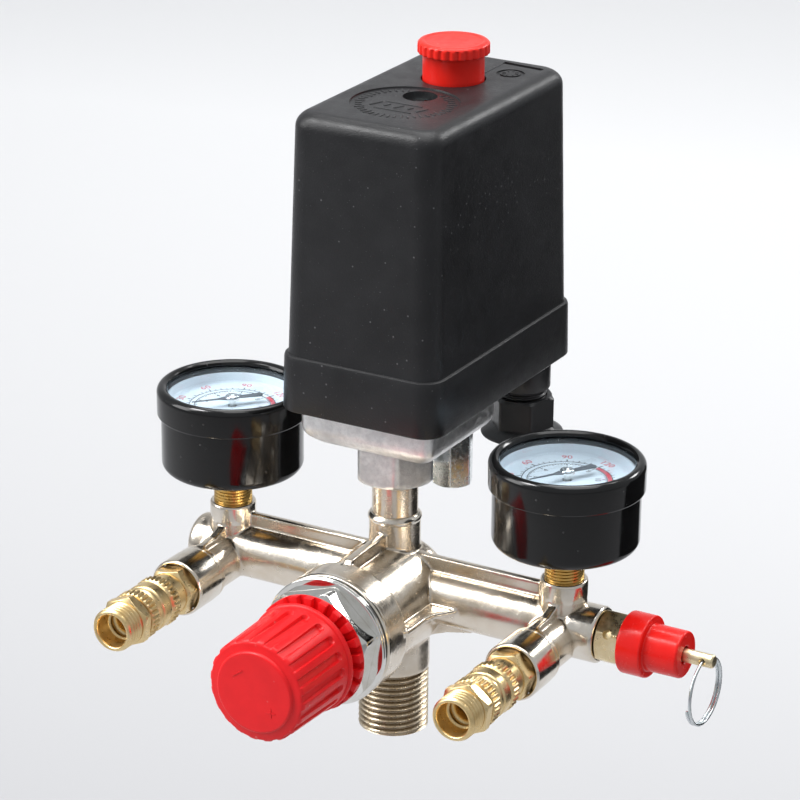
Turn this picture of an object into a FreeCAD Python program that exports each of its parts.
import FreeCAD, Part
import Sketcher
import math
import os
import re

# Air-compressor pressure switch on its regulator manifold.
# Frame: +Z up along the tank thread, +X along the bar towards the safety valve, -Y to the regulator knob.
# Origin: centre of the open end of the tank thread.  Lengths in millimetres, angles in degrees.

DIMENSIONS = {
    # manifold casting
    "bar_z": 45.3, "bar_r": 8.3, "bar_left": 68.6, "bar_right": 60.0, "bar_bore": 4.0,
    "port_x": 56.0, "port_r": 6.9, "port_top": 60.65, "gauge_thread": 4.86, "thread_gap": 0.05,
    "relief_port_r": 8.4, "relief_port_end": 69.0, "relief_port_len": 11.0,
    "out_z": 43.4, "out_tube_r": 7.6, "out_ring_r": 8.74, "out_ring_back": 18.0, "out_face": 32.0,
    "out_thread": 6.58, "out_bore": 3.5, "recess_r": 7.85, "recess_len": 1.6,
    "tank_r": 10.478, "tank_len": 20.0, "tank_bore": 7.2, "column_r": 10.7, "upper_r": 7.67,
    "lip_r": 7.95, "lip_z": 67.4, "lip_len": 1.8, "neck_r": 6.84, "boss_z": 80.0, "neck_top": 89.5,
    "column_bore": 4.2, "web_thick": 3.0, "web_z": 58.0, "web_reach": 50.0, "rib_z": 64.0,
    "gusset_x": 27.0, "gusset_z": 33.0, "fin_z": 44.55, "fin_thick": 1.5, "fin_x": 26.0, "fin_front": 28.0,
    # regulator
    "reg_z": 43.0, "house_r": 19.3, "house_back": 26.3, "house_face": 37.2, "house_neck_r": 16.85,
    "bell_back": 9.0, "chamber_r": 15.0, "chamber_back": 31.0, "seat_y": 20.0, "seat_r": 2.6, "poppet_bore": 5.2,
    "diaphragm_thick": 1.2, "flange_r": 19.5, "flange_len": 2.0, "hex_af": 32.0, "hex_len": 7.1,
    "hex_turn": 18.0, "barrel_r": 11.4, "barrel_len": 20.5, "nut_af": 17.0, "nut_len": 3.5,
    "barrel_wall": 2.0, "screw_r": 3.0, "screw_len": 18.0, "stem_af": 6.0, "lug_count": 22, "lug_r": 17.3,
    "lug_base": 0.4, "lug_len": 2.0, "lug_slot": 2.4, "lug_inner": 13.2,
    "knob_r": 16.6, "knob_front_r": 15.5, "knob_len": 25.8, "knob_back": 52.2, "disc_r": 12.0,
    "disc_len": 1.0, "knob_cavity": 13.0, "knob_wall": 1.8, "hub_r": 6.0, "hub_len": 6.7,
    "flute_count": 20, "flute_r": 1.35, "flute_start": 3.5,
    # gauges
    "case_r": 21.3, "case_z": 71.25, "case_top": 94.8, "case_wall": 1.1, "case_round": 2.6,
    "bezel_r": 22.55, "bezel_z": 88.9, "bezel_top": 97.7, "bezel_open": 19.3, "bezel_lip": 1.3,
    "lens_z": 95.0, "lens_thick": 1.3, "dial_z": 90.4, "dial_thick": 0.6, "dial_r": 19.9, "dial_hole": 1.85,
    "collar_r": 5.5, "block_side": 10.0, "block_top": 79.0, "tube_ring": 15.0, "tube_r": 1.6,
    "plate_z": 86.4, "pinion_r": 1.95, "pinion_z": 84.0, "sector_r": 9.75, "sector_x": 12.0,
    "pointer_z": 93.1, "pointer_long": 12.6, "pointer_tail": 9.5, "pointer_rest": 211, "hub_cap_r": 2.3,
    # outlet couplers
    "adapter_af": 13.4, "adapter_hex_end": 36.0, "adapter_neck": 6.2, "core_r": 5.2, "core_bore": 3.2,
    "core_split": 48.2, "sleeve_back": 40.6, "sleeve_len": 15.0, "sleeve_r": 7.6, "sleeve_waist": 6.8,
    "knurl_count": 30, "knurl_r": 0.45, "tip_hex_back": 56.0, "tip_hex_len": 3.6, "tip_af": 14.0, "tip_end": 66.5,
    "tip_bore": 4.95,
    # safety valve
    "relief_back": 60.5, "relief_hex": 69.3, "relief_af": 14.4, "cap_back": 77.0, "cap_step": 84.5,
    "cap_end": 95.0, "cap_big_r": 9.15, "cap_small_r": 6.95, "relief_barrel_r": 7.0, "relief_barrel": 82.6,
    "relief_chamber": 72.0, "relief_chamber_r": 5.2, "vent_r": 1.35, "stem_r": 2.0, "stem_tip": 104.0,
    "stem_head_r": 4.6, "stem_head": 72.5, "ring_x": 101.0, "ring_r": 9.8, "ring_wire": 0.45,
    "ring_pitch": 1.0, "ring_turns": 1.66, "ring_start": 75, "eye_r": 1.1,
    # switch
    "cover_y": 19.3, "skirt_half_x": 26.3, "skirt_half_y": 44.0, "skirt_z": 104.2, "skirt_top": 121.1,
    "wall_half_x": 25.3, "wall_half_y": 42.9, "cover_top": 192.6, "cover_taper": 0.85,
    "corner_r": 7.0, "rim_r": 4.5, "cover_wall": 2.4, "screw_y": 12.4, "screw_recess": 5.0,
    "screw_depth": 5.0, "emblem_y": 3.8, "emblem_r": 15.9, "emblem_depth": 0.5,
    "mark_x": 11.8, "mark_y": 44.8, "mark_r": 4.1, "slot_x": 11.5, "slot_y": 53.0, "slot_len": 13.0,
    "slot_wide": 2.0, "button_y": 32.0, "button_neck": 9.0, "button_cap_r": 10.45, "button_cap_z": 200.4,
    "button_top": 204.0, "button_gap": 0.3, "button_foot": 136.0, "button_rod": 4.0,
    "foot_half_x": 22.0, "foot_front": 18.5, "foot_back": 21.5, "foot_z": 93.5, "foot_top": 104.0,
    "foot_bevel": 2.4, "boss_af": 22.0, "piston_pocket": 13.0, "pocket_z": 98.0,
    "rubber_r": 15.0, "rubber_thick": 1.0, "plate_top": 107.0, "plate_half_x": 22.5, "plate_half_y": 39.5,
    "piston_r": 8.0, "piston_rod": 4.0, "piston_top": 111.0, "lever_z": 111.3, "lever_thick": 2.0,
    "lever_half_x": 8.5, "lever_tail": 46.0, "pivot_y": 17.0, "pivot_r": 1.5, "ear_half_x": 10.0,
    "spring_r": 6.5, "spring_wire": 1.0, "seat_z": 150.0, "seat_plate_r": 8.6, "stud_r": 3.0,
    "stud_top": 176.0, "standoff_z": 160.0, "contact_y": 40.0, "block_half_x": 21.0,
    "block_wide": 9.0, "block_z": 119.0, "block_front": 30.0, "block_back": 56.0,
    "unload_x": 9.5, "unload_y": 17.5, "unload_r": 4.5, "unload_af": 11.0, "unload_z": 74.0,
    "unload_hex": 84.0, "unload_turn": 21.0, "pin_r": 1.2,
    "gland_x": 15.5, "gland_y": 50.0, "gland_r": 8.2, "gland_z": 95.0, "gland_neck": 7.2,
    "gland_nut_z": 79.5, "gland_nut_top": 92.4, "gland_flare": 12.5, "gland_flare_len": 2.4,
    "gland_af": 17.0, "gland_bore": 5.0,
}

ROTATIONS = {
    "+Z": FreeCAD.Rotation(),
    "-Z": FreeCAD.Rotation(FreeCAD.Vector(1, 0, 0), 180),
    "-Y": FreeCAD.Rotation(FreeCAD.Vector(1, 0, 0), 90),
    "+Y": FreeCAD.Rotation(FreeCAD.Vector(1, 0, 0), -90),
    "+X": FreeCAD.Rotation(FreeCAD.Vector(0, 1, 0), 90),
}

doc = FreeCAD.newDocument("pressure_switch")
dims = doc.addObject("Spreadsheet::Sheet", "dims")
nodes = []


def fill_sheet():
    for row, (alias, value) in enumerate(DIMENSIONS.items(), 1):
        dims.set("A%d" % row, alias)
        dims.set("B%d" % row, str(value))
        dims.setAlias("B%d" % row, alias)
    doc.recompute()


# ---------------------------------------------------------------- helpers


def cells(expression):
    """The expression with each sheet alias written as a reference to its cell."""
    def reference(match):
        word = match.group()
        return "dims." + word if word in DIMENSIONS else word
    return re.sub(r"[a-z][a-z0-9_]*", reference, str(expression))


def bind(thing, prop, expression):
    thing.setExpression(prop, cells(expression))


def place(thing, x=0, y=0, z=0, axis="+Z", turn=0):
    """Puts a piece at x, y, z with its own +Z along axis, turned about it first."""
    spin = FreeCAD.Rotation(FreeCAD.Vector(0, 0, 1), turn)
    thing.Placement = FreeCAD.Placement(FreeCAD.Vector(), ROTATIONS[axis].multiply(spin))
    for name, value in (("x", x), ("y", y), ("z", z)):
        if value != 0:
            bind(thing, ".Placement.Base." + name, value)
    return thing


def primitive(kind, label, sizes, **where):
    solid = doc.addObject("Part::" + kind, label)
    for prop, value in sizes.items():
        bind(solid, prop, value)
    return place(solid, **where)


def cylinder(label, radius, length, **where):
    return primitive("Cylinder", label, {"Radius": radius, "Height": length}, **where)


def cone(label, base, top, length, **where):
    return primitive("Cone", label, {"Radius1": base, "Radius2": top, "Height": length}, **where)


def hexagon(label, flats, length, **where):
    prism = primitive("Prism", label, {"Circumradius": "(%s) / sqrt(3)" % flats, "Height": length}, **where)
    prism.Polygon = 6
    return prism


def box(label, sides, corner, **where):
    sizes = dict(zip(("Length", "Width", "Height"), sides))
    return primitive("Box", label, sizes, x=corner[0], y=corner[1], z=corner[2], **where)


def fuse(label, solids, refine=True):
    joined = doc.addObject("Part::MultiFuse", label)
    joined.Shapes = solids
    joined.Refine = refine
    return joined


def cut(label, base, tools):
    result = doc.addObject("Part::Cut", label)
    result.Base = base
    result.Tool = tools[0] if len(tools) == 1 else fuse(label + "_tools", tools)
    result.Refine = True
    return result


def attach(feature, body, role, offset=0):
    plane = next(item for item in body.Origin.OriginFeatures if item.Role == role)
    feature.AttachmentSupport = [(plane, "")]
    feature.MapMode = "FlatFace"
    if offset != 0:
        bind(feature, ".AttachmentOffset.Base.z", offset)


def new_sketch(body, name, role, offset=0):
    drawing = body.newObject("Sketcher::SketchObject", name)
    attach(drawing, body, role, offset)
    return drawing


def fix_coordinate(drawing, kind, point, expression):
    """Ties one coordinate of a sketch point to an expression, measured from the origin."""
    edge, end = point
    if expression == 0:
        axis = -2 if kind == "DistanceX" else -1
        drawing.addConstraint(Sketcher.Constraint("PointOnObject", edge, end, axis))
        return
    text = str(expression)
    if text.startswith("-"):
        number = drawing.addConstraint(Sketcher.Constraint(kind, edge, end, -1, 1, 1.0))
        text = text[1:]
    else:
        number = drawing.addConstraint(Sketcher.Constraint(kind, -1, 1, edge, end, 1.0))
    bind(drawing, "Constraints[%d]" % number, text)


def outline(drawing, points):
    """A closed run of straight lines with every corner tied to the sheet."""
    count = len(points)
    seeds = [FreeCAD.Vector(10 + 5 * math.cos(6.28 * i / count), 10 + 5 * math.sin(6.28 * i / count), 0)
             for i in range(count)]
    lines = [drawing.addGeometry(Part.LineSegment(seeds[i], seeds[(i + 1) % count])) for i in range(count)]
    for i in range(count):
        drawing.addConstraint(Sketcher.Constraint("Coincident", lines[i - 1], 2, lines[i], 1))
    for line, (across, along) in zip(lines, points):
        fix_coordinate(drawing, "DistanceX", (line, 1), across)
        fix_coordinate(drawing, "DistanceY", (line, 1), along)


def circle_at(drawing, x, y, radius):
    number = drawing.addGeometry(Part.Circle(FreeCAD.Vector(5, 5, 0), FreeCAD.Vector(0, 0, 1), 1))
    fix_coordinate(drawing, "DistanceX", (number, 3), x)
    fix_coordinate(drawing, "DistanceY", (number, 3), y)
    size = drawing.addConstraint(Sketcher.Constraint("Radius", number, 1.0))
    bind(drawing, "Constraints[%d]" % size, radius)


def turned(label, profile):
    """A body turned about its own Z axis from (radius, height) corners."""
    body = doc.addObject("PartDesign::Body", label)
    drawing = new_sketch(body, label + "_profile", "XZ_Plane")
    outline(drawing, profile)
    turn = body.newObject("PartDesign::Revolution", label + "_turn")
    turn.Profile = (drawing, [""])
    turn.ReferenceAxis = (drawing, ["V_Axis"])
    turn.Angle = 360
    return body


def plate(label, role, points, thickness, offset=0, middle=True):
    """A flat plate padded from a polygon on one of the body's planes."""
    body = doc.addObject("PartDesign::Body", label)
    drawing = new_sketch(body, label + "_outline", role, offset)
    outline(drawing, points)
    pad = body.newObject("PartDesign::Pad", label + "_pad")
    pad.Profile = (drawing, [""])
    bind(pad, "Length", thickness)
    pad.Midplane = middle
    return body


def round_edges(body, name, radius, wanted):
    """Fillets the edges of the body's tip that the test picks."""
    doc.recompute()
    tip = body.Tip
    picked = ["Edge%d" % (i + 1) for i, edge in enumerate(tip.Shape.Edges) if wanted(edge)]
    if not picked:
        raise ValueError("no edge to round on " + name)
    fillet = body.newObject("PartDesign::Fillet", name)
    fillet.Base = (tip, picked)
    bind(fillet, "Radius", radius)
    return body


def around(body, name, feature, count):
    """Repeats a feature round the body's Z axis."""
    axis = next(item for item in body.Origin.OriginFeatures if item.Role == "Z_Axis")
    pattern = body.newObject("PartDesign::PolarPattern", name)
    pattern.Originals = [feature]
    pattern.Axis = (axis, [""])
    pattern.Angle = 360
    bind(pattern, "Occurrences", count)
    body.Tip = pattern
    return body


def flutes(body, name, count, pitch_r, cutter_r, top, depth):
    """Round grooves along the body's Z axis, cut down from the height top."""
    drawing = new_sketch(body, name + "_circle", "XY_Plane", top)
    circle_at(drawing, pitch_r, 0, cutter_r)
    pocket = body.newObject("PartDesign::Pocket", name)
    pocket.Profile = (drawing, [""])
    bind(pocket, "Length", depth)
    return around(body, name + "_ring", pocket, count)


def radial_blocks(body, name, cutting, count, inner, outer, wide, height, length, reverse=False):
    """Straight-sided teeth or slots in a ring on a face of the body."""
    drawing = new_sketch(body, name + "_outline", "XY_Plane", height)
    half = "(%s) / 2" % wide
    outline(drawing, [(inner, "-" + half), (outer, "-" + half), (outer, half), (inner, half)])
    kind = "Pocket" if cutting else "Pad"
    feature = body.newObject("PartDesign::" + kind, name)
    feature.Profile = (drawing, [""])
    feature.Reversed = reverse
    bind(feature, "Length", length)
    return around(body, name + "_ring", feature, count)


def coil(label, radius, wire, pitch, length, segment=1, **where):
    """A round-wire helix from the height 0 up, swept in lengths of so many turns."""
    path = doc.addObject("Part::Helix", label + "_path")
    path.SegmentLength = segment
    bind(path, "Radius", radius)
    bind(path, "Pitch", pitch)
    bind(path, "Height", length)
    section = doc.addObject("Part::Circle", label + "_wire")
    bind(section, "Radius", wire)
    place(section, x=radius, axis="-Y")
    sweep = doc.addObject("Part::Sweep", label)
    sweep.Sections = [section]
    sweep.Spine = (path, [])
    sweep.Solid = True
    sweep.Frenet = True
    return place(sweep, **where)


def keep(piece, **where):
    """Marks a finished piece as a node of the object."""
    if where:
        place(piece, **where)
    piece.Label = piece.Name
    nodes.append(piece)
    return piece


SIDES = (("left", "-", -1), ("right", "", 1))


# ---------------------------------------------------------------- manifold


def manifold_outside():
    solids = [
        cylinder("bar", "bar_r", "bar_left + bar_right", x="-bar_left", z="bar_z", axis="+X"),
        cylinder("relief_port", "relief_port_r", "relief_port_len",
                 x="relief_port_end - relief_port_len", z="bar_z", axis="+X"),
        cylinder("tank_thread", "tank_r", "tank_len"),
        cylinder("lower_column", "column_r", "bar_z - tank_len", z="tank_len"),
        cylinder("upper_column", "upper_r", "lip_z - bar_z", z="bar_z"),
        cylinder("column_lip", "lip_r", "lip_len", z="lip_z"),
        cylinder("column_neck", "neck_r", "boss_z - lip_z - lip_len", z="lip_z + lip_len"),
        cylinder("switch_thread", "out_thread", "neck_top - boss_z", z="boss_z"),
        cylinder("housing", "house_r", "house_face - house_back", y="-house_back", z="reg_z", axis="-Y"),
        cylinder("housing_neck", "house_neck_r", "house_back + bell_back", y="bell_back", z="reg_z",
                 axis="-Y"),
        box("long_web", ("2 * web_reach", "web_thick", "web_z - bar_z"),
            ("-web_reach", "-web_thick / 2", "bar_z")),
        box("front_rib", ("web_thick", "house_back", "rib_z - bar_z"),
            ("-web_thick / 2", "-house_back - 0.5", "bar_z")),
    ]
    for side, sign, _ in SIDES:
        port_x = sign + "port_x"
        gusset = [(sign + "(column_r - 1)", "gusset_z - 3"), (sign + "(column_r - 1)", "bar_z"),
                  (sign + "gusset_x", "bar_z - bar_r + 1"), (sign + "gusset_x", "bar_z - bar_r - 0.7"),
                  (sign + "18.5", "gusset_z + 1.7"), (sign + "13.5", "gusset_z")]
        fin = [(sign + "14", "-6"), (sign + "fin_x", "-7.5"), (sign + "20.3", "-17"),
               (sign + "20.3", "-fin_front"), (sign + "14", "-fin_front")]
        solids += [
            cylinder("gauge_port_" + side, "port_r", "port_top - bar_z", x=port_x, z="bar_z"),
            cylinder("outlet_tube_" + side, "out_tube_r", "out_ring_back + 1", x=port_x, z="out_z",
                     axis="-Y"),
            cylinder("outlet_ring_" + side, "out_ring_r", "out_face - out_ring_back",
                     x=port_x, y="-out_ring_back", z="out_z", axis="-Y"),
            box("outlet_rib_" + side, ("web_thick", "out_ring_back", "out_ring_r"),
                (port_x + " - web_thick / 2", "-out_ring_back - 0.5", "out_z")),
            plate("gusset_" + side, "XZ_Plane", gusset, "web_thick"),
            plate("fin_" + side, "XY_Plane", fin, "fin_thick", offset="fin_z", middle=False),
        ]
    return fuse("manifold_casting", solids, refine=False)


def manifold_bores():
    tools = [
        cylinder("tank_bore_tool", "tank_bore", "reg_z - chamber_r + 2", z=-1),
        cylinder("column_bore_tool", "column_bore", "neck_top", z=1),
        cylinder("right_bore_tool", "bar_bore", "relief_port_end", z="bar_z", axis="+X"),
        cylinder("relief_thread_tool", "gauge_thread + thread_gap", "relief_port_end - bar_right + 1",
                 x="bar_right", z="bar_z", axis="+X"),
        cylinder("left_bore_tool", "bar_bore", "bar_left - 14", x="-bar_left + 6.5", z="bar_z", axis="+X"),
        cylinder("chamber_tool", "chamber_r", "house_face - chamber_back + 1",
                 y="-chamber_back", z="reg_z", axis="-Y"),
        cylinder("seat_tool", "seat_r", "chamber_back - seat_y + 2", y="-seat_y + 1", z="reg_z", axis="-Y"),
        cylinder("poppet_tool", "poppet_bore", "seat_y + 2", y=2, z="reg_z", axis="-Y"),
        cylinder("feed_tool", 1.8, "chamber_back + 1", x=-9, z="bar_z", axis="-Y"),
    ]
    for side, sign, _ in SIDES:
        port_x = sign + "port_x"
        tools += [
            cylinder("gauge_thread_tool_" + side, "gauge_thread + thread_gap", "10.5",
                     x=port_x, z="port_top - 9.5"),
            cylinder("gauge_feed_tool_" + side, 2.5, "port_top - bar_z", x=port_x, z="bar_z"),
            cylinder("outlet_feed_tool_" + side, "out_bore", "out_face", x=port_x, z="out_z", axis="-Y"),
            cylinder("outlet_thread_tool_" + side, "out_thread + thread_gap", "out_face - out_ring_back - 1",
                     x=port_x, y="-out_ring_back - 2", z="out_z", axis="-Y"),
            cylinder("outlet_recess_tool_" + side, "recess_r", "recess_len + 1",
                     x=port_x, y="-out_face + recess_len", z="out_z", axis="-Y"),
        ]
    return tools


def manifold():
    keep(cut("manifold_body", manifold_outside(), manifold_bores()))


# ---------------------------------------------------------------- regulator


def bonnet():
    outside = fuse("bonnet_outside", [
        cylinder("bonnet_flange", "flange_r", "flange_len"),
        hexagon("bonnet_hex", "hex_af", "hex_len", z="flange_len", turn=DIMENSIONS["hex_turn"]),
        cylinder("bonnet_barrel", "barrel_r", "barrel_len", z="flange_len + hex_len"),
    ])
    inside = [
        cylinder("bonnet_mouth", 13.5, 5.6, z=-1),
        hexagon("bonnet_bore", "nut_af + 0.6", "flange_len + hex_len + barrel_len - barrel_wall - 4", z=4),
        cylinder("bonnet_hole", "screw_r + 0.08", "flange_len + hex_len + barrel_len", z=1),
    ]
    keep(cut("regulator_bonnet", outside, inside),
         y="-house_face - diaphragm_thick", z="reg_z", axis="-Y")


def lock_ring():
    height = "(lug_base + lug_len)"
    ring = turned("lock_ring", [("barrel_r + 0.1", 0), ("lug_r", 0), ("lug_r", height),
                                ("barrel_r + 0.1", height)])
    radial_blocks(ring, "lug_gap", True, "lug_count", "lug_inner", "(lug_r + 1)", "lug_slot",
                  height, "lug_len")
    keep(ring, y="-house_face - diaphragm_thick - flange_len - hex_len", z="reg_z", axis="-Y")


def diaphragm_stack():
    keep(turned("regulator_diaphragm", [(0, 0), ("house_r - 0.4", 0), ("house_r - 0.4", "diaphragm_thick"),
                                        (0, "diaphragm_thick")]), y="-house_face", z="reg_z", axis="-Y")
    keep(turned("diaphragm_plate", [(0, 0), ("9", 0), ("9", "1"), ("5", "1"), ("5", "2.2"), (0, "2.2")]),
         y="-house_face - diaphragm_thick", z="reg_z", axis="-Y")


def adjusting_parts():
    barrel_end = "(house_face + diaphragm_thick + flange_len + hex_len + barrel_len)"
    nut_front = "(%s - barrel_wall - 1.7)" % barrel_end
    stem = fuse("adjusting_stem", [
        cylinder("stem_screw", "screw_r", "screw_len + 0.3"),
        cylinder("stem_collar", 4.4, 1.0, z="screw_len - barrel_wall - 1.3"),
        hexagon("stem_drive", "stem_af", 6.2, z="screw_len + 0.3"),
    ])
    keep(stem, y="screw_len - %s" % barrel_end, z="reg_z", axis="-Y")
    nut = cut("spring_nut", hexagon("spring_nut_blank", "nut_af", "nut_len"),
              [cylinder("spring_nut_bore", "screw_r + 0.08", "nut_len + 2", z=-1)])
    keep(nut, y="-%s + nut_len" % nut_front, z="reg_z", axis="-Y")
    length = "%s - nut_len - house_face - diaphragm_thick - 2.2" % nut_front
    keep(coil("regulator_spring", 7.0, 0.95, 3.4, length + " - 2.4",
              y="-house_face - diaphragm_thick - 2.2 - 1.2 ",
              z="reg_z", axis="-Y"))


def poppet():
    back = "chamber_back + 5.9"
    valve = turned("poppet_valve", [(0, 0), ("1.3", 0), ("1.3", "%s - seat_y" % back),
                                    ("4.4", "%s - seat_y + 0.4" % back), ("4.4", "%s - seat_y + 3" % back),
                                    (0, "%s - seat_y + 3" % back)])
    keep(valve, y="-(%s)" % back, z="reg_z", axis="+Y")
    keep(coil("poppet_spring", 3.2, 0.4, 2.4, "seat_y - 3 - 0.6", y="-seat_y + 3.9", z="reg_z", axis="+Y"))


def knob():
    depth = "(knob_len - knob_wall + disc_len)"
    hub = "(%s - hub_len)" % depth
    front = "(knob_len + disc_len)"
    shell = turned("knob_shell", [
        ("knob_cavity", 0), ("knob_r", 0), ("knob_r", "1.4"), ("knob_r - 0.4", "1.9"),
        ("knob_front_r + 0.1", "knob_len - 1"), ("knob_front_r - 0.9", "knob_len"),
        ("disc_r + 0.3", "knob_len"),
        ("disc_r", front), (0, front), (0, hub), ("hub_r", hub), ("hub_r", depth), ("knob_cavity", depth)])
    flutes(shell, "knob_flute", "flute_count", "(knob_r + 0.2)", "flute_r", "(knob_len + 0.5)",
           "knob_len + 0.5 - flute_start")
    radial_blocks(shell, "lock_tooth", False, "lug_count", "lug_inner + 0.2", "(knob_r - 0.5)",
                  "lug_slot - 0.6", 0, "lug_len", reverse=True)
    socket = hexagon("knob_socket", "stem_af + 0.6", "hub_len + 1", z="%s - 1" % hub)
    keep(cut("regulator_knob", shell, [socket]), y="-knob_back", z="reg_z", axis="-Y")


def regulator():
    bonnet()
    lock_ring()
    diaphragm_stack()
    adjusting_parts()
    poppet()
    knob()


# ---------------------------------------------------------------- gauges


def gauge_shell(side, port_x):
    case = turned("gauge_case_" + side, [
        ("collar_r + 0.1", 0), ("case_r", 0), ("case_r", "case_top - case_z"),
        ("case_r - case_wall", "case_top - case_z"), ("case_r - case_wall", "1.5"),
        ("collar_r + 0.1", "1.5")])
    round_edges(case, "case_edge_" + side, "case_round",
                lambda edge: edge.BoundBox.XLength > 40 and edge.BoundBox.ZMax < 0.1)
    keep(case, x=port_x, z="case_z")
    lip = "bezel_top - bezel_z"
    bezel = turned("gauge_bezel_" + side, [
        ("case_r + 0.12", 0), ("bezel_r", 0), ("bezel_r", lip), ("bezel_open + 0.6", lip),
        ("bezel_open", "%s - bezel_lip" % lip), ("case_r + 0.12", "%s - bezel_lip" % lip)])
    round_edges(bezel, "bezel_edge_" + side, 1.0,
                lambda edge: edge.BoundBox.ZMin > 8 and edge.BoundBox.XLength > 45)
    keep(bezel, x=port_x, z="bezel_z")
    keep(turned("gauge_lens_" + side, [(0, 0), ("case_r", 0), ("case_r", "lens_thick"), (0, "lens_thick")]),
         x=port_x, z="lens_z")
    keep(turned("gauge_dial_" + side, [("dial_hole", 0), ("dial_r", 0), ("dial_r", "dial_thick"),
                                       ("dial_hole", "dial_thick")]), x=port_x, z="dial_z")


def gauge_movement(side, port_x, dial_turn):
    tube_z = "(block_top + plate_z) / 2 - port_top - 1.5"
    tube = primitive("Torus", "bourdon_tube_" + side,
                     {"Radius1": "tube_ring", "Radius2": "tube_r", "Angle3": 250},
                     z=tube_z, turn=-80)
    socket = cut("gauge_socket_" + side, fuse("socket_outside_" + side, [tube,
        box("tube_root_" + side, (3, "tube_ring - 3.9", "block_top - case_z - 3"),
            (1.5, "-tube_ring - 1", "case_z - port_top + 5.2")),
        cylinder("socket_thread_" + side, "gauge_thread", 8, z=-8),
        cylinder("socket_collar_" + side, "collar_r", "case_z - port_top + 1.6"),
        box("socket_block_" + side, ("block_side", "block_side", "block_top - case_z - 1.6"),
            ("-block_side / 2", "-block_side / 2", "case_z - port_top + 1.6")),
    ]), [cylinder("socket_bore_" + side, 1.5, "block_top - port_top + 6", z=-9)])
    keep(socket, x=port_x, z="port_top")
    posts = [cylinder("movement_post_%s_%d" % (side, i), 0.8, "plate_z - block_top", x=3.8, y=3.8 * i,
                      z="block_top")
             for i in (-1, 1)]
    deck = box("movement_deck_" + side, (20, 10, 1), (-14, -5, "plate_z"))
    frame = cut("gauge_movement_" + side, fuse("movement_solids_" + side, posts + [deck]), [
        cylinder("shaft_hole_" + side, 0.97, 3, z="plate_z - 1"),
        cylinder("sector_hole_" + side, 0.87, 3, x="-sector_x", z="plate_z - 1")])
    keep(frame, x=port_x)
    sector = plate("sector_plate_" + side, "XY_Plane", [
        ("-2", "-1.5"), ("sector_r * cos(30)", "-sector_r * sin(30)"),
        ("sector_r * cos(15)", "-sector_r * sin(15)"),
        ("sector_r", 0), ("sector_r * cos(15)", "sector_r * sin(15)"),
        ("sector_r * cos(30)", "sector_r * sin(30)"),
        ("-2", "1.5")], 1.2, middle=False)
    gear = fuse("gauge_sector_" + side, [sector, cylinder("sector_shaft_" + side, 0.8, 3.4, z=-0.6)])
    keep(gear, x=port_x + " - sector_x", z="pinion_z + 0.2", turn=-27)
    hand = turned("pointer_shaft_" + side, [
        (0, 0), ("0.9", 0), ("0.9", "2"), ("pinion_r", "2"), ("pinion_r", "3.6"), ("0.9", "3.6"),
        ("0.9", "pointer_z - pinion_z + 1.7"), ("hub_cap_r", "pointer_z - pinion_z + 1.7"),
        ("hub_cap_r", "pointer_z - pinion_z + 2.9"), ("1.4", "pointer_z - pinion_z + 3.4"),
        (0, "pointer_z - pinion_z + 3.4")])
    blade = plate("pointer_blade_" + side, "XY_Plane", [
        ("-pointer_tail", 0), ("-pointer_tail + 0.6", "-1.35"), (-2, "-0.9"), ("2.2", "-1.3"),
        ("4.4", "-0.45"),
        ("pointer_long", "-0.15"), ("pointer_long", "0.15"), ("4.4", "0.45"), ("2.2", "1.3"), (-2, "0.9"),
        ("-pointer_tail + 0.6", "1.35")], 0.4, offset="pointer_z - pinion_z + 2.1", middle=False)
    keep(fuse("gauge_pointer_" + side, [hand, blade]), x=port_x, z="pinion_z - 2",
         turn=DIMENSIONS["pointer_rest"] + dial_turn)


def gauges():
    for side, sign, _ in SIDES:
        gauge_shell(side, sign + "port_x")
        gauge_movement(side, sign + "port_x", 27 if side == "right" else 17)


# ---------------------------------------------------------------- outlet couplers


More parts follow.
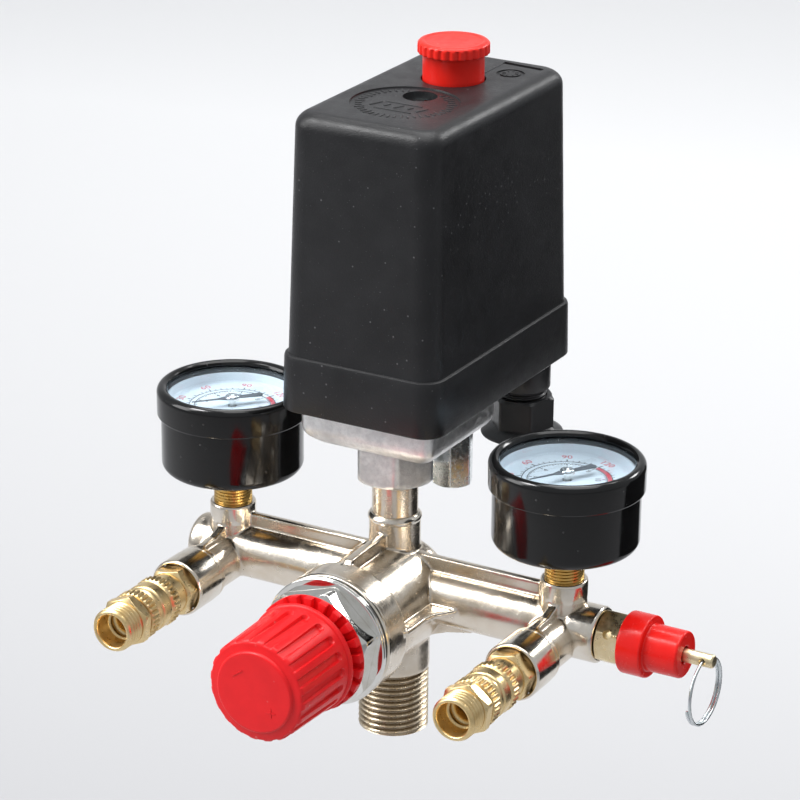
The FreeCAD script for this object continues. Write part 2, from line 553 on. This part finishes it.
def outlets():
    for side, sign, _ in SIDES:
        port_x = sign + "port_x"
        adapter = cut("coupler_adapter_" + side, fuse("adapter_outside_" + side, [
            cylinder("adapter_thread_" + side, "out_thread", "out_face - out_ring_back - 4.3"),
            hexagon("adapter_hex_" + side, "adapter_af", "adapter_hex_end - out_face + 1.3",
                    z="out_face - out_ring_back - 4.3", turn=10),
            cylinder("adapter_neck_" + side, "adapter_neck", "sleeve_back - out_ring_back - 3.4"),
            cylinder("adapter_core_" + side, "core_r", "core_split - out_ring_back - 3")]),
            [cylinder("adapter_bore_" + side, "core_bore", "core_split", z=-1)])
        keep(adapter, x=port_x, y="-out_ring_back - 3", z="out_z", axis="-Y")
        sleeve = turned("knurled_sleeve_" + side, [
            ("core_r + 0.08", 0), ("sleeve_r - 0.6", 0), ("sleeve_r", "0.5"), ("sleeve_r", "3.4"),
            ("sleeve_waist", "4"), ("sleeve_r - 0.3", "5.4"), ("sleeve_r - 0.3", "8"),
            ("sleeve_waist", "9.4"),
            ("sleeve_waist", "10.8"), ("sleeve_r", "11.2"), ("sleeve_r", "sleeve_len - 0.7"),
            ("sleeve_r - 0.6", "sleeve_len"), ("core_r + 0.08", "sleeve_len")])
        flutes(sleeve, "rear_knurl_" + side, "knurl_count", "(sleeve_r + 0.15)", "knurl_r", "3.5", "3.5")
        flutes(sleeve, "front_knurl_" + side, "knurl_count", "(sleeve_r + 0.15)", "knurl_r", "sleeve_len",
               "3.9")
        keep(sleeve, x=port_x, y="-sleeve_back", z="out_z", axis="-Y")
        tip = "(tip_end - core_split - 0.1)"
        nipple = cut("outlet_nipple_" + side, fuse("nipple_outside_" + side, [
            cylinder("nipple_core_" + side, "core_r", "tip_hex_back - core_split"),
            hexagon("nipple_hex_" + side, "tip_af", "tip_hex_len", z="tip_hex_back - core_split - 0.1",
                    turn=22),
            cylinder("nipple_thread_" + side, "out_thread", "tip_end - 0.7 - tip_hex_back - tip_hex_len + 1",
                     z="tip_hex_back + tip_hex_len - core_split - 1.1"),
            cone("nipple_chamfer_" + side, "out_thread", "out_thread - 0.6", 0.7, z=tip + " - 0.7")]), [
            cylinder("nipple_bore_" + side, "core_bore", tip + " + 2", z=-1),
            cylinder("nipple_step_" + side, 4.2, 3, z=tip + " - 8.5"),
            cylinder("nipple_mouth_" + side, "tip_bore", 7, z=tip + " - 6")])
        keep(nipple, x=port_x, y="-core_split - 0.1", z="out_z", axis="-Y")


# ---------------------------------------------------------------- safety valve


def relief_valve():
    hex_len = "(cap_back - relief_hex)"
    thread = "(relief_hex - relief_back)"
    vent = cylinder("relief_vent", "vent_r", 12, z="relief_chamber - relief_back + 1.2")
    vent.Placement.Rotation = FreeCAD.Rotation(FreeCAD.Vector(0, 0, 1), -30).multiply(ROTATIONS["-Y"])
    body = cut("relief_body", fuse("relief_outside", [
        cylinder("relief_thread", "gauge_thread", thread),
        hexagon("relief_hexagon", "relief_af", hex_len, z=thread),
        cylinder("relief_barrel_solid", "relief_barrel_r", "relief_barrel - relief_hex", z=thread)]), [
        cylinder("relief_bore", 2.0, 30, z=-1),
        cylinder("relief_chamber_tool", "relief_chamber_r", 20, z="relief_chamber - relief_back"), vent])
    keep(body, x="relief_back", z="bar_z", axis="+X")
    cap = turned("relief_cap", [
        ("relief_barrel_r + 0.04", 0), ("cap_big_r - 0.3", 0), ("cap_big_r", "0.3"),
        ("cap_big_r", "cap_step - cap_back - 0.4"), ("cap_big_r - 0.4", "cap_step - cap_back"),
        ("cap_small_r", "cap_step - cap_back"), ("cap_small_r", "cap_end - cap_back - 0.4"),
        ("cap_small_r - 0.4", "cap_end - cap_back"), ("stem_r + 0.45", "cap_end - cap_back"),
        ("stem_r + 0.45", "cap_end - cap_back - 1.3"), ("5.4", "cap_end - cap_back - 1.3"),
        ("5.4", "relief_barrel - cap_back + 0.3"),
        ("relief_barrel_r + 0.04", "relief_barrel - cap_back + 0.3")])
    keep(cap, x="cap_back", z="bar_z", axis="+X")
    spindle = turned("relief_spindle", [
        (0, 0), ("stem_head_r", 0), ("stem_head_r", "1.4"), ("stem_r", "1.4"),
        ("stem_r", "stem_tip - stem_head - 0.4"), ("stem_r - 0.4", "stem_tip - stem_head"),
        (0, "stem_tip - stem_head")])
    eye = cylinder("stem_eye", "eye_r", 6, y=3, z="ring_x - stem_head", axis="-Y")
    keep(cut("relief_stem", spindle, [eye]), x="stem_head", z="bar_z", axis="+X")
    keep(coil("relief_spring", 3.5, 0.5, 2.6, "cap_end - stem_head - 4.4", x="stem_head + 2.2", z="bar_z",
              axis="+X"))
    keep(coil("pull_ring", "ring_r", "ring_wire", "ring_pitch", "ring_pitch * ring_turns", segment=0.5,
              x="ring_x - ring_pitch * (180 + ring_start) / 360", z="bar_z - ring_r", axis="+X",
              turn=-DIMENSIONS["ring_start"]))


# ---------------------------------------------------------------- switch housing


def cover_form(label, inset):
    """The cover's outside, or the same form smaller all round by inset."""
    y_mid = "cover_y"
    body = doc.addObject("PartDesign::Body", label)
    levels = (
        ("skirt", "skirt_half_x", "skirt_half_y", "skirt_z", "skirt_top - skirt_z", 0),
        ("walls", "wall_half_x", "wall_half_y", "skirt_z", "cover_top - skirt_z", "-cover_taper"),
    )
    for name, half_x, half_y, bottom, height, taper in levels:
        low_x = "-(%s - %s)" % (half_x, inset)
        high_x = "(%s - %s)" % (half_x, inset)
        low_y = "-(%s - %s - %s)" % (half_y, inset, y_mid)
        high_y = "(%s + %s - %s)" % (y_mid, half_y, inset)
        drawing = new_sketch(body, label + "_" + name, "XY_Plane", bottom)
        outline(drawing, [(low_x, low_y), (high_x, low_y), (high_x, high_y), (low_x, high_y)])
        pad = body.newObject("PartDesign::Pad", label + "_" + name + "_pad")
        pad.Profile = (drawing, [""])
        bind(pad, "Length", "%s - %s" % (height, inset))
        if taper != 0:
            bind(pad, "TaperAngle", taper)
    round_edges(body, label + "_corners", "corner_r - " + str(inset),
                lambda edge: edge.BoundBox.ZLength > 3 * max(edge.BoundBox.XLength, edge.BoundBox.YLength))
    top = DIMENSIONS["cover_top"] - (DIMENSIONS["cover_wall"] if inset != 0 else 0)
    round_edges(body, label + "_rim", "rim_r - " + str(inset),
                lambda edge: edge.BoundBox.ZMin > top - 0.1)
    return body


def cover():
    outside = cover_form("cover_outside", 0)
    hollow = cover_form("cover_hollow", "cover_wall")
    shell = cut("cover_shell", outside, [hollow])
    tower = cylinder("screw_tower", "screw_recess + 2", "screw_depth + 2.4",
                     y="screw_y", z="cover_top - screw_depth - 2.5")
    solid = fuse("cover_solid", [shell, tower])
    tools = [
        box("cover_mouth", ("2 * skirt_half_x", "2 * skirt_half_y", 4),
            ("-skirt_half_x", "cover_y - skirt_half_y", "skirt_z - 4")),
        cylinder("screw_recess_tool", "screw_recess", "screw_depth + 1", y="screw_y",
                 z="cover_top - screw_depth"),
        cylinder("screw_hole_tool", 2.4, 20, y="screw_y", z="cover_top - 15"),
        cylinder("button_hole_tool", "button_neck + button_gap", 10, y="button_y", z="cover_top - 6"),
        cylinder("emblem_tool", "emblem_r", 1, y="emblem_y", z="cover_top - emblem_depth"),
        cylinder("mark_tool", "mark_r", 1, x="mark_x", y="mark_y", z="cover_top - 0.3"),
        box("slot_tool", ("slot_len", "slot_wide", 6), ("slot_x - slot_len / 2", "slot_y - slot_wide / 2",
                                                        "cover_top - 1.5")),
    ]
    keep(cut("switch_cover", solid, tools))
    screw = turned("cover_screw_blank", [
        (0, 0), ("2.2", 0), ("2.2", "11.7"), ("4.3", "11.7"), ("4.3", "13.2"), ("3.4", "14"), (0, "14")])
    keep(cut("cover_screw", screw, [
        box("screw_slot", (8, 1, 2), (-4, -0.5, 12.9)),
        box("screw_cross", (1, 8, 2), (-0.5, -4, 12.9))]), y="screw_y", z="cover_top - screw_depth - 11.6")


def button():
    body = turned("start_stop_button", [
        (0, 0), ("button_rod", 0), ("button_rod", "cover_top - button_foot - 8"),
        ("button_neck + 1.6", "cover_top - button_foot - 8"),
        ("button_neck + 1.6", "cover_top - button_foot - 5"),
        ("button_neck", "cover_top - button_foot - 5"), ("button_neck", "button_cap_z - button_foot"),
        ("button_cap_r", "button_cap_z - button_foot"), ("button_cap_r", "button_top - button_foot - 0.9"),
        ("button_cap_r - 0.9", "button_top - button_foot"), (0, "button_top - button_foot")])
    flutes(body, "button_scallop", 26, "(button_cap_r + 0.35)", 0.75, "(button_top - button_foot + 1)", 5.6)
    keep(body, y="button_y", z="button_foot")


def cast_flange():
    bevel = "foot_bevel"
    low = cone("boss_chamfer", "boss_af / 2 - 1", "boss_af / 2 + 1.9", 2.9, z="boss_z")
    hexagonal = hexagon("boss_hex", "boss_af", "foot_z - boss_z", z="boss_z")
    boss = doc.addObject("Part::Common", "boss")
    boss.Base = hexagonal
    boss.Tool = fuse("boss_limits", [low, cylinder("boss_upper", "boss_af", 20, z="boss_z + 2.9")])
    foot = plate("foot_block", "XZ_Plane", [
        ("-(foot_half_x - %s)" % bevel, "foot_z"), ("(foot_half_x - %s)" % bevel, "foot_z"),
        ("foot_half_x", "foot_z + %s" % bevel), ("foot_half_x", "foot_top"),
        ("-foot_half_x", "foot_top"), ("-foot_half_x", "foot_z + %s" % bevel)],
        "foot_front + foot_back", middle=False)
    round_edges(foot, "foot_corners", 3.0,
                lambda edge: edge.BoundBox.ZLength > 5 and edge.BoundBox.XLength + edge.BoundBox.YLength < 0.01)
    place(foot, y="foot_back")
    tools = [
        cylinder("boss_thread_tool", "out_thread + thread_gap", "neck_top - boss_z + 1", z="boss_z - 0.8"),
        cylinder("boss_feed_tool", 3.0, 20, z="boss_z + 1"),
        cylinder("pocket_tool", "piston_pocket", 10, z="pocket_z"),
        cylinder("unload_hole", "unload_r + 0.05", 20, x="unload_x", y="unload_y", z="foot_z - 2"),
    ]
    for i, (sx, sy) in enumerate(CORNERS):
        tools.append(cylinder("foot_screw_hole_%d" % i, 2.05, 14, x="%s18" % sx, y=SCREW_ROWS[sy],
                              z="foot_z - 1"))
    keep(cut("cast_flange", fuse("flange_solid", [boss, foot]), tools))


CORNERS = (("", "front"), ("-", "front"), ("", "back"), ("-", "back"))
SCREW_ROWS = {"front": "-(foot_front - 4)", "back": "foot_back - 4"}


def flange_screws():
    screws = []
    for i, (sx, sy) in enumerate(CORNERS):
        where = {"x": "%s18" % sx, "y": SCREW_ROWS[sy]}
        shank = cylinder("flange_shank_%d" % i, 2.0, "plate_top - foot_z - 2", z="foot_z + 2", **where)
        head = cylinder("flange_head_%d" % i, 3.6, 2.2, z="plate_top", **where)
        screws.append(fuse("flange_screw_%d" % i, [shank, head]))
    group = doc.addObject("Part::Compound", "flange_screws")
    group.Links = screws
    keep(group)


def base_plate():
    z_low = "foot_top + rubber_thick"
    thick = "plate_top - " + z_low.replace("+", "-")
    deck = box("base_deck", ("2 * plate_half_x", "2 * plate_half_y", thick),
               ("-plate_half_x", "cover_y - plate_half_y", z_low))
    ears = []
    for i, sign in enumerate(("-", "")):
        corner = "-ear_half_x - 2" if sign else "ear_half_x"
        ears.append(box("pivot_ear_%d" % i, (2, 7, "lever_z + 4 - plate_top + 0.5"),
                        (corner, "-pivot_y - 3.5", "plate_top - 0.5")))
    tools = [
        cylinder("piston_hole", "piston_r + 0.5", 6, z="foot_top"),
        cylinder("pivot_hole", "pivot_r", 40, x=-20, y="-pivot_y", z="lever_z + 1", axis="+X"),
        cylinder("unload_plate_hole", "unload_r + 0.05", 6, x="unload_x", y="unload_y", z="foot_top"),
        cylinder("gland_plate_hole", "gland_neck - 0.9", 6, x="gland_x", y="gland_y", z="foot_top"),
    ]
    for i, (sx, sy) in enumerate(CORNERS):
        tools.append(cylinder("plate_screw_hole_%d" % i, 2.05, 6, x="%s18" % sx, y=SCREW_ROWS[sy],
                              z="foot_top"))
    keep(cut("base_plate", fuse("base_solid", [deck] + ears), tools))
    keep(cylinder("pivot_pin", "pivot_r", "2 * ear_half_x + 5", x="-ear_half_x - 2.5", y="-pivot_y",
                  z="lever_z + 1", axis="+X"))


def pressure_stack():
    keep(turned("pressure_diaphragm", [(0, 0), ("rubber_r", 0), ("rubber_r", "rubber_thick"),
                                       (0, "rubber_thick")]), z="foot_top")
    keep(turned("diaphragm_piston", [
        (0, 0), ("piston_r", 0), ("piston_r", "2"), ("piston_rod", "3"),
        ("piston_rod", "piston_top - foot_top - rubber_thick - 0.6"),
        ("piston_rod - 0.5", "piston_top - foot_top - rubber_thick - 0.1"),
        (0, "piston_top - foot_top - rubber_thick - 0.1")]), z="foot_top + rubber_thick + 0.1")


def lever():
    tab = box("lever_tab", ("lever_half_x + 3", 6, "lever_thick"), (0, "unload_y - 3", "lever_z"))
    arm = box("lever_arm", ("2 * lever_half_x", "pivot_y + lever_tail", "lever_thick"),
              ("-lever_half_x", "-pivot_y", "lever_z"))
    knuckle = cylinder("lever_knuckle", "pivot_r + 1.7", "2 * lever_half_x + 2", x="-lever_half_x - 1",
                       y="-pivot_y", z="lever_z + 1", axis="+X")
    keep(cut("main_lever", fuse("lever_solid", [arm, tab, knuckle]), [
        cylinder("lever_pivot_bore", "pivot_r + 0.06", 40, x=-20, y="-pivot_y", z="lever_z + 1", axis="+X"),
        cylinder("lever_stud_hole", "stud_r + 1.2", 8, y="screw_y", z="lever_z - 2")]))


def range_spring():
    keep(cut("adjusting_stud", fuse("stud_solid", [
        cylinder("stud_rod", "stud_r", "standoff_z - plate_top", y="screw_y", z="plate_top"),
        hexagon("stud_standoff", 8, "stud_top - standoff_z + 6", y="screw_y", z="standoff_z")]),
        [cylinder("stud_tap", 2.25, 14, y="screw_y", z="stud_top - 6")]))
    keep(turned("spring_seat", [("stud_r + 0.1", 0), ("seat_plate_r", 0), ("seat_plate_r", "1.4"),
                                ("stud_r + 0.1", "1.4")]), y="screw_y", z="seat_z - 1.5")
    keep(cut("adjusting_nut", hexagon("nut_blank", 13, 5, y="screw_y", z="seat_z"),
             [cylinder("nut_tap", "stud_r + 0.02", 8, y="screw_y", z="seat_z - 1")]))
    keep(coil("main_spring", "spring_r", "spring_wire", 4.1, "seat_z - 1.6 - lever_z - lever_thick - 2.8",
              y="screw_y", z="lever_z + lever_thick + 1.4"))


def contacts():
    depth = "block_back - block_front"
    pillars = []
    for i, x in enumerate(("-block_half_x", "block_half_x - block_wide")):
        pillars.append(box("contact_pillar_%d" % i, ("block_wide", depth, "block_z - plate_top"),
                           (x, "block_front", "plate_top")))
        pillars.append(box("terminal_wall_%d" % i, ("block_wide", 2, 8),
                           (x, "block_front + 15", "block_z - 0.5")))
    bridge_wall = box("contact_wall", ("2 * block_half_x", 3, "block_z - plate_top"),
                      ("-block_half_x", "block_back - 3", "plate_top"))
    clear = cylinder("contact_gland_space", "gland_neck + 0.3", 12, x="gland_x", y="gland_y",
                     z="plate_top - 1")
    keep(cut("contact_block", fuse("contact_solid", pillars + [bridge_wall]), [clear]))
    screws = []
    for i, (x, y) in enumerate((("-(block_half_x - block_wide / 2)", 34),
                                ("block_half_x - block_wide / 2", 34),
                                ("-(block_half_x - block_wide / 2)", 50),
                                ("block_half_x - block_wide / 2", 50))):
        head = cylinder("terminal_head_%d" % i, 3.0, 2.0, x=x, y=y, z="block_z")
        slot = box("terminal_slot_%d" % i, (5.9, 0.9, 2), (x + " - 2.95", y - 0.45, "block_z + 1.2"))
        screws.append(cut("terminal_screw_%d" % i, head, [slot]))
    group = doc.addObject("Part::Compound", "terminal_screws")
    group.Links = screws
    keep(group)
    keep(fuse("contact_bridge", [
        box("bridge_bar", ("2 * block_half_x - 8", 4, 1.2),
            ("-block_half_x + 4", "contact_y - 0.5", "block_z + 0.3")),
        box("bridge_carrier", (8, 8, 10), (-4, "contact_y - 4", "lever_z + lever_thick + 0.3"))]))


def unloader():
    where = {"x": "unload_x", "y": "unload_y"}
    keep(cut("unloader_body", cylinder("unloader_blank", "unload_r", "plate_top - unload_hex + 1.6",
                                       z="unload_hex", **where),
             [cylinder("unloader_bore", "pin_r + 0.3", 40, z="unload_hex - 1", **where)]))
    nut = cut("unloader_nut", hexagon("unloader_hex", "unload_af", "foot_z - unload_z - 0.3", z="unload_z",
                                      turn=-90 + DIMENSIONS["unload_turn"], **where),
              [cylinder("unloader_nut_tap", "unload_r + 0.02", 20, z="unload_hex", **where),
               cylinder("unloader_nut_mouth", 3.0, 20, z="unload_z - 1", **where)])
    keep(nut)
    keep(cylinder("unloader_pin", "pin_r", "lever_z - 0.3 - unload_hex - 4", z="unload_hex + 4", **where))


def cable_gland():
    where = {"x": "gland_x", "y": "gland_y"}
    collar = cylinder("gland_collar", "gland_r", "foot_top + rubber_thick - gland_z", z="gland_z", **where)
    neck = cylinder("gland_thread", "gland_neck", "gland_z - gland_nut_z - 4", z="gland_nut_z + 4", **where)
    spigot = cylinder("gland_spigot", "gland_neck - 1", 6, z="foot_top", **where)
    keep(cut("gland_body", fuse("gland_solid", [collar, neck, spigot]),
             [cylinder("gland_bore_tool", "gland_bore", 40, z="gland_nut_z", **where)]))
    flare = cone("gland_flare_solid", "gland_flare", "gland_af / 2 + 0.8", "gland_flare_len",
                 z="gland_nut_z", **where)
    grip = hexagon("gland_grip", "gland_af", "gland_nut_top - gland_nut_z - 1", z="gland_nut_z + 1",
                   turn=12, **where)
    keep(cut("gland_nut", fuse("gland_nut_solid", [flare, grip]), [
        cylinder("gland_nut_tap", "gland_neck + 0.05", 30, z="gland_nut_z + 1.6", **where),
        cylinder("gland_nut_mouth", "gland_bore", 10, z="gland_nut_z - 1", **where)]))


def switch():
    cover()
    button()
    cast_flange()
    flange_screws()
    base_plate()
    pressure_stack()
    lever()
    range_spring()
    contacts()
    unloader()
    cable_gland()


# ---------------------------------------------------------------- build and write


def check_document():
    doc.recompute()
    for thing in doc.Objects:
        if "Invalid" in thing.State or "Error" in thing.State:
            raise RuntimeError("%s failed: %s" % (thing.Name, thing.State))
    for piece in nodes:
        if piece.Shape.isNull() or not piece.Shape.isValid():
            raise RuntimeError("%s has no valid shape" % piece.Label)


def write_steps():
    os.makedirs("parts", exist_ok=True)
    for piece in nodes:
        piece.Shape.exportStep("parts/%s.step" % piece.Label)


fill_sheet()
manifold()
regulator()
gauges()
outlets()
relief_valve()
switch()
check_document()
write_steps()
print(len(nodes), "nodes written")
